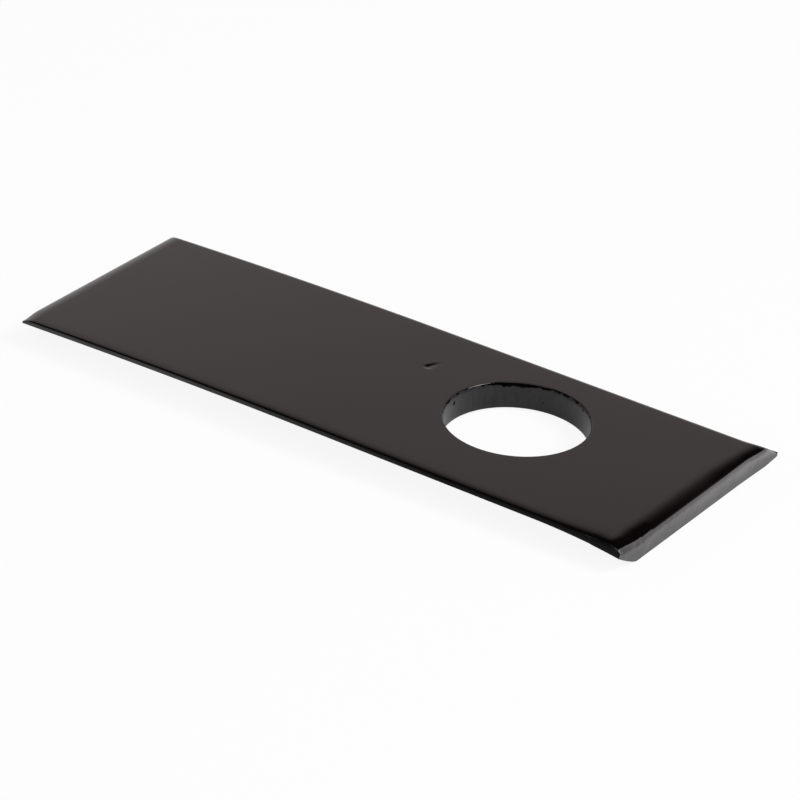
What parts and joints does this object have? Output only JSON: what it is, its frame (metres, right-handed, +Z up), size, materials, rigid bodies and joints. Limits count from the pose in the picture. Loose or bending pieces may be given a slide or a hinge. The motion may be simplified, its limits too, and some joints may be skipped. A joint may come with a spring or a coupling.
{
  "type": "mower blade",
  "caption": "Flat reversible knife for a rotary hay mower, ground on opposite sides of its two long edges, with a bolt hole near one end.",
  "frame": {"origin": "bolt hole's axis at the underside", "axes": "+X along the blade towards the bolted end, +Y towards the long edge that is ground from above, +Z up through the bolt hole"},
  "size_m": [0.1014, 0.04, 0.005],
  "materials": {
    "black_paint": "gloss"
  },
  "bodies": {
    "root": {"blade": "black_paint"}
  },
  "joints": []
}
